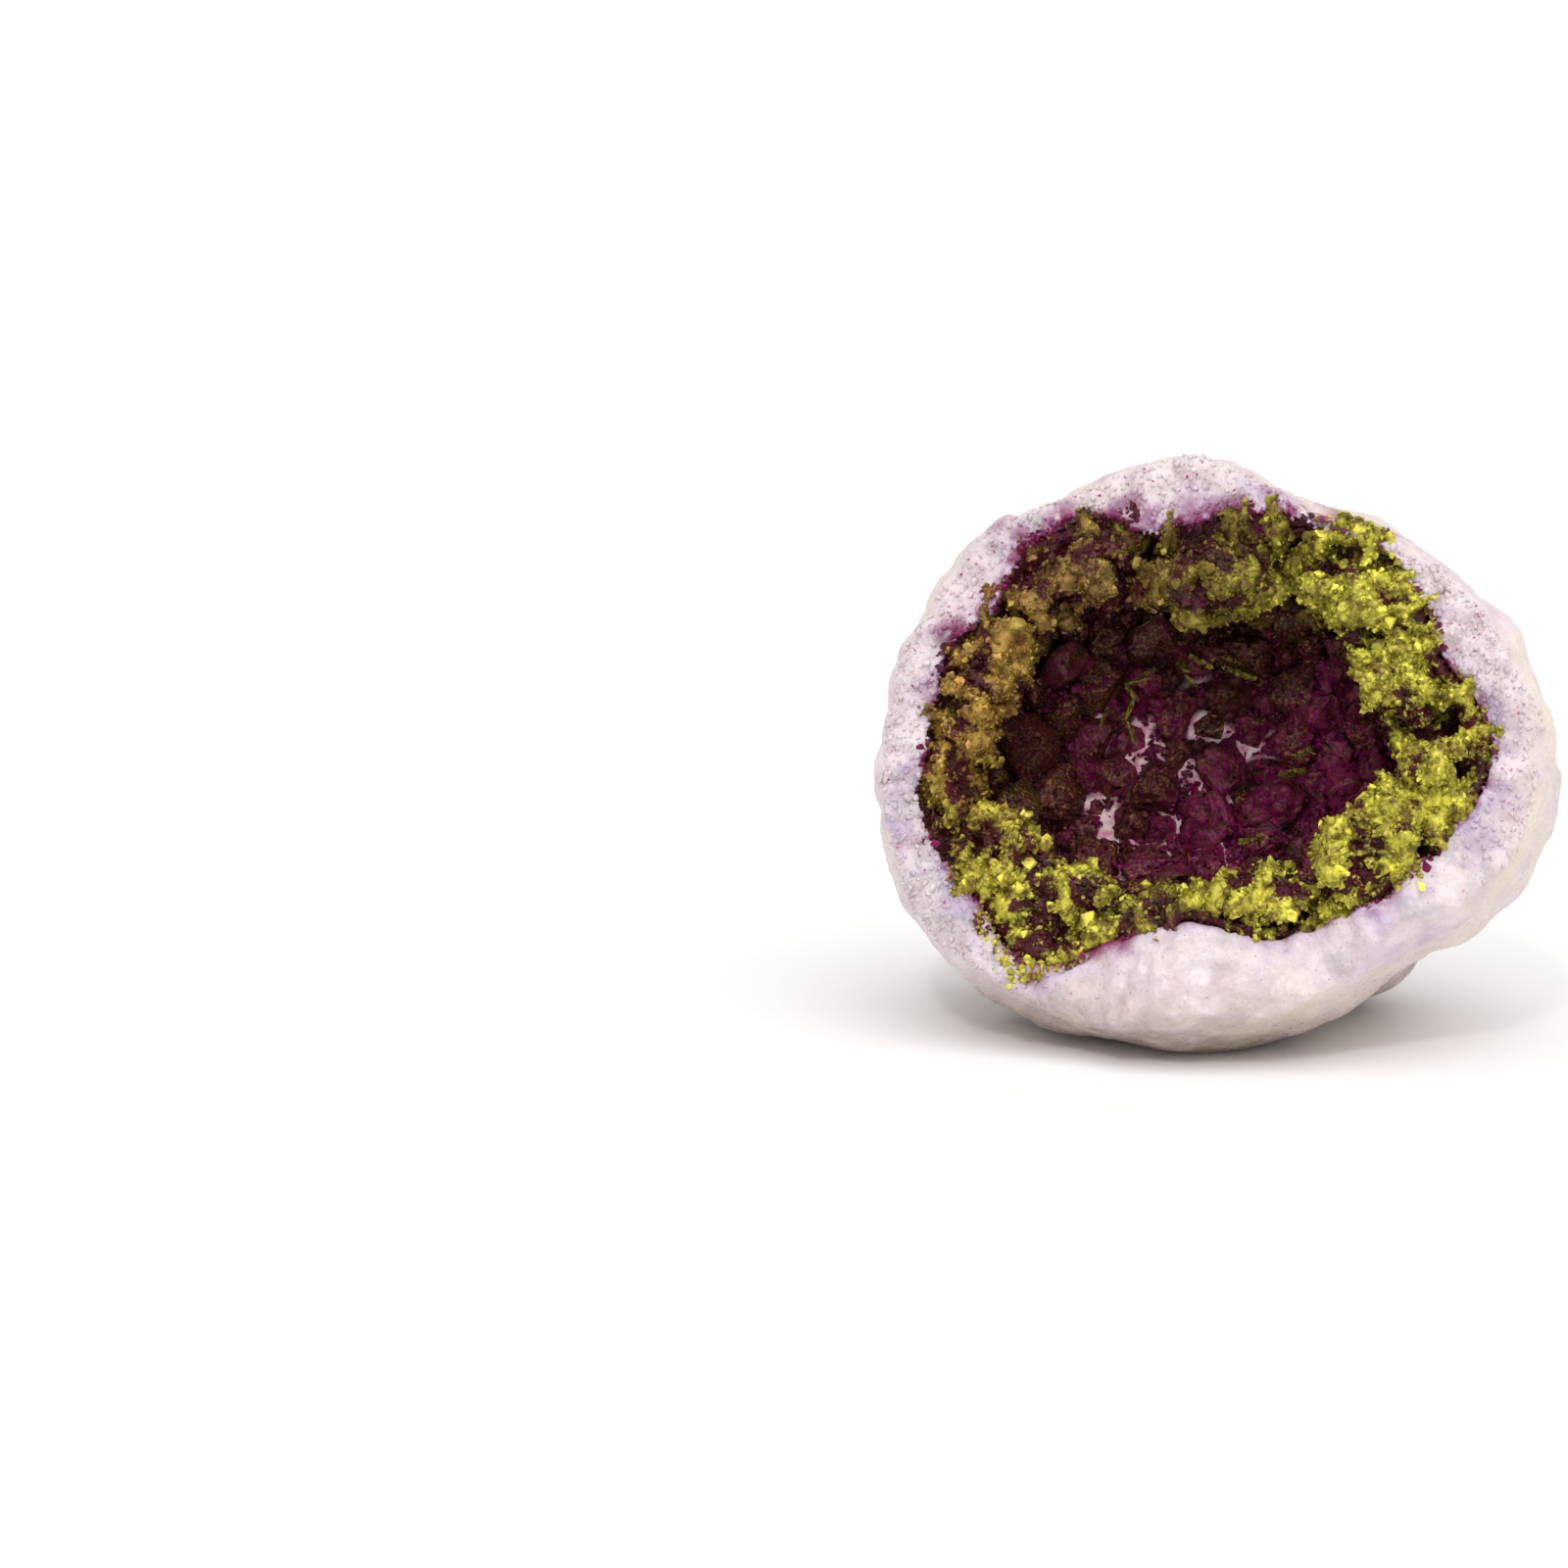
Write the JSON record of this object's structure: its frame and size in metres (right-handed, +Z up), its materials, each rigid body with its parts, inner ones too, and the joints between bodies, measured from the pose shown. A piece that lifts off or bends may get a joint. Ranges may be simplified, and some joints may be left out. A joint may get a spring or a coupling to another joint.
{
  "type": "geode half",
  "caption": "Half of a dyed geode: pale lumpy rock shell, open hollow lined with bronze-green and magenta crystals, standing on a worn flat with the opening forward.",
  "frame": {"origin": "centre of the bounding box in plan, on the surface that the stone stands on", "axes": "+X to the right along the width, +Y into the stone away from the opening, +Z up"},
  "size_m": [0.069, 0.049, 0.0592],
  "materials": {
    "rock": "matt, sugary on the broken face and smoother on the outside",
    "crust": "small glossy crystals with a thin metallic film",
    "bronze_crystal": "bronze-green metallic film over dark crystals",
    "magenta_crystal": "glossy, deeply dyed, partly filmed",
    "green_crystal": "yellow-green metallic film"
  },
  "bodies": {
    "root": {"rock_shell": "rock", "druse_crust": "crust", "right_cluster": "bronze_crystal", "upper_right_cluster": "bronze_crystal", "roof_cluster": "bronze_crystal", "upper_left_cluster": "bronze_crystal", "left_cluster": "bronze_crystal", "lower_left_cluster": "bronze_crystal", "floor_cluster": "bronze_crystal", "lower_right_cluster": "bronze_crystal", "back_crystal_01": "magenta_crystal", "inner_crystal_01": "magenta_crystal", "inner_crystal_02": "magenta_crystal", "inner_crystal_03": "magenta_crystal", "inner_crystal_04": "magenta_crystal", "inner_crystal_05": "magenta_crystal", "inner_crystal_06": "magenta_crystal", "outer_crystal_01": "magenta_crystal", "outer_crystal_02": "magenta_crystal", "outer_crystal_03": "magenta_crystal", "outer_crystal_04": "magenta_crystal", "outer_crystal_05": "magenta_crystal", "outer_crystal_06": "magenta_crystal", "outer_crystal_07": "magenta_crystal", "outer_crystal_08": "magenta_crystal", "outer_crystal_09": "magenta_crystal", "outer_crystal_10": "magenta_crystal", "outer_crystal_11": "magenta_crystal", "outer_crystal_12": "magenta_crystal", "wall_crystal_01": "magenta_crystal", "wall_crystal_02": "magenta_crystal", "wall_crystal_03": "magenta_crystal", "wall_crystal_04": "magenta_crystal", "wall_crystal_05": "magenta_crystal", "wall_crystal_06": "magenta_crystal", "wall_crystal_07": "magenta_crystal", "wall_crystal_08": "magenta_crystal", "wall_crystal_09": "magenta_crystal", "wall_crystal_10": "magenta_crystal", "wall_crystal_11": "magenta_crystal", "wall_crystal_12": "magenta_crystal", "wall_crystal_13": "magenta_crystal", "wall_crystal_14": "magenta_crystal", "blade_crystal_01": "green_crystal", "blade_crystal_02": "green_crystal", "blade_crystal_03": "green_crystal", "blade_crystal_04": "green_crystal", "blade_crystal_05": "green_crystal", "blade_crystal_06": "green_crystal"}
  },
  "joints": []
}
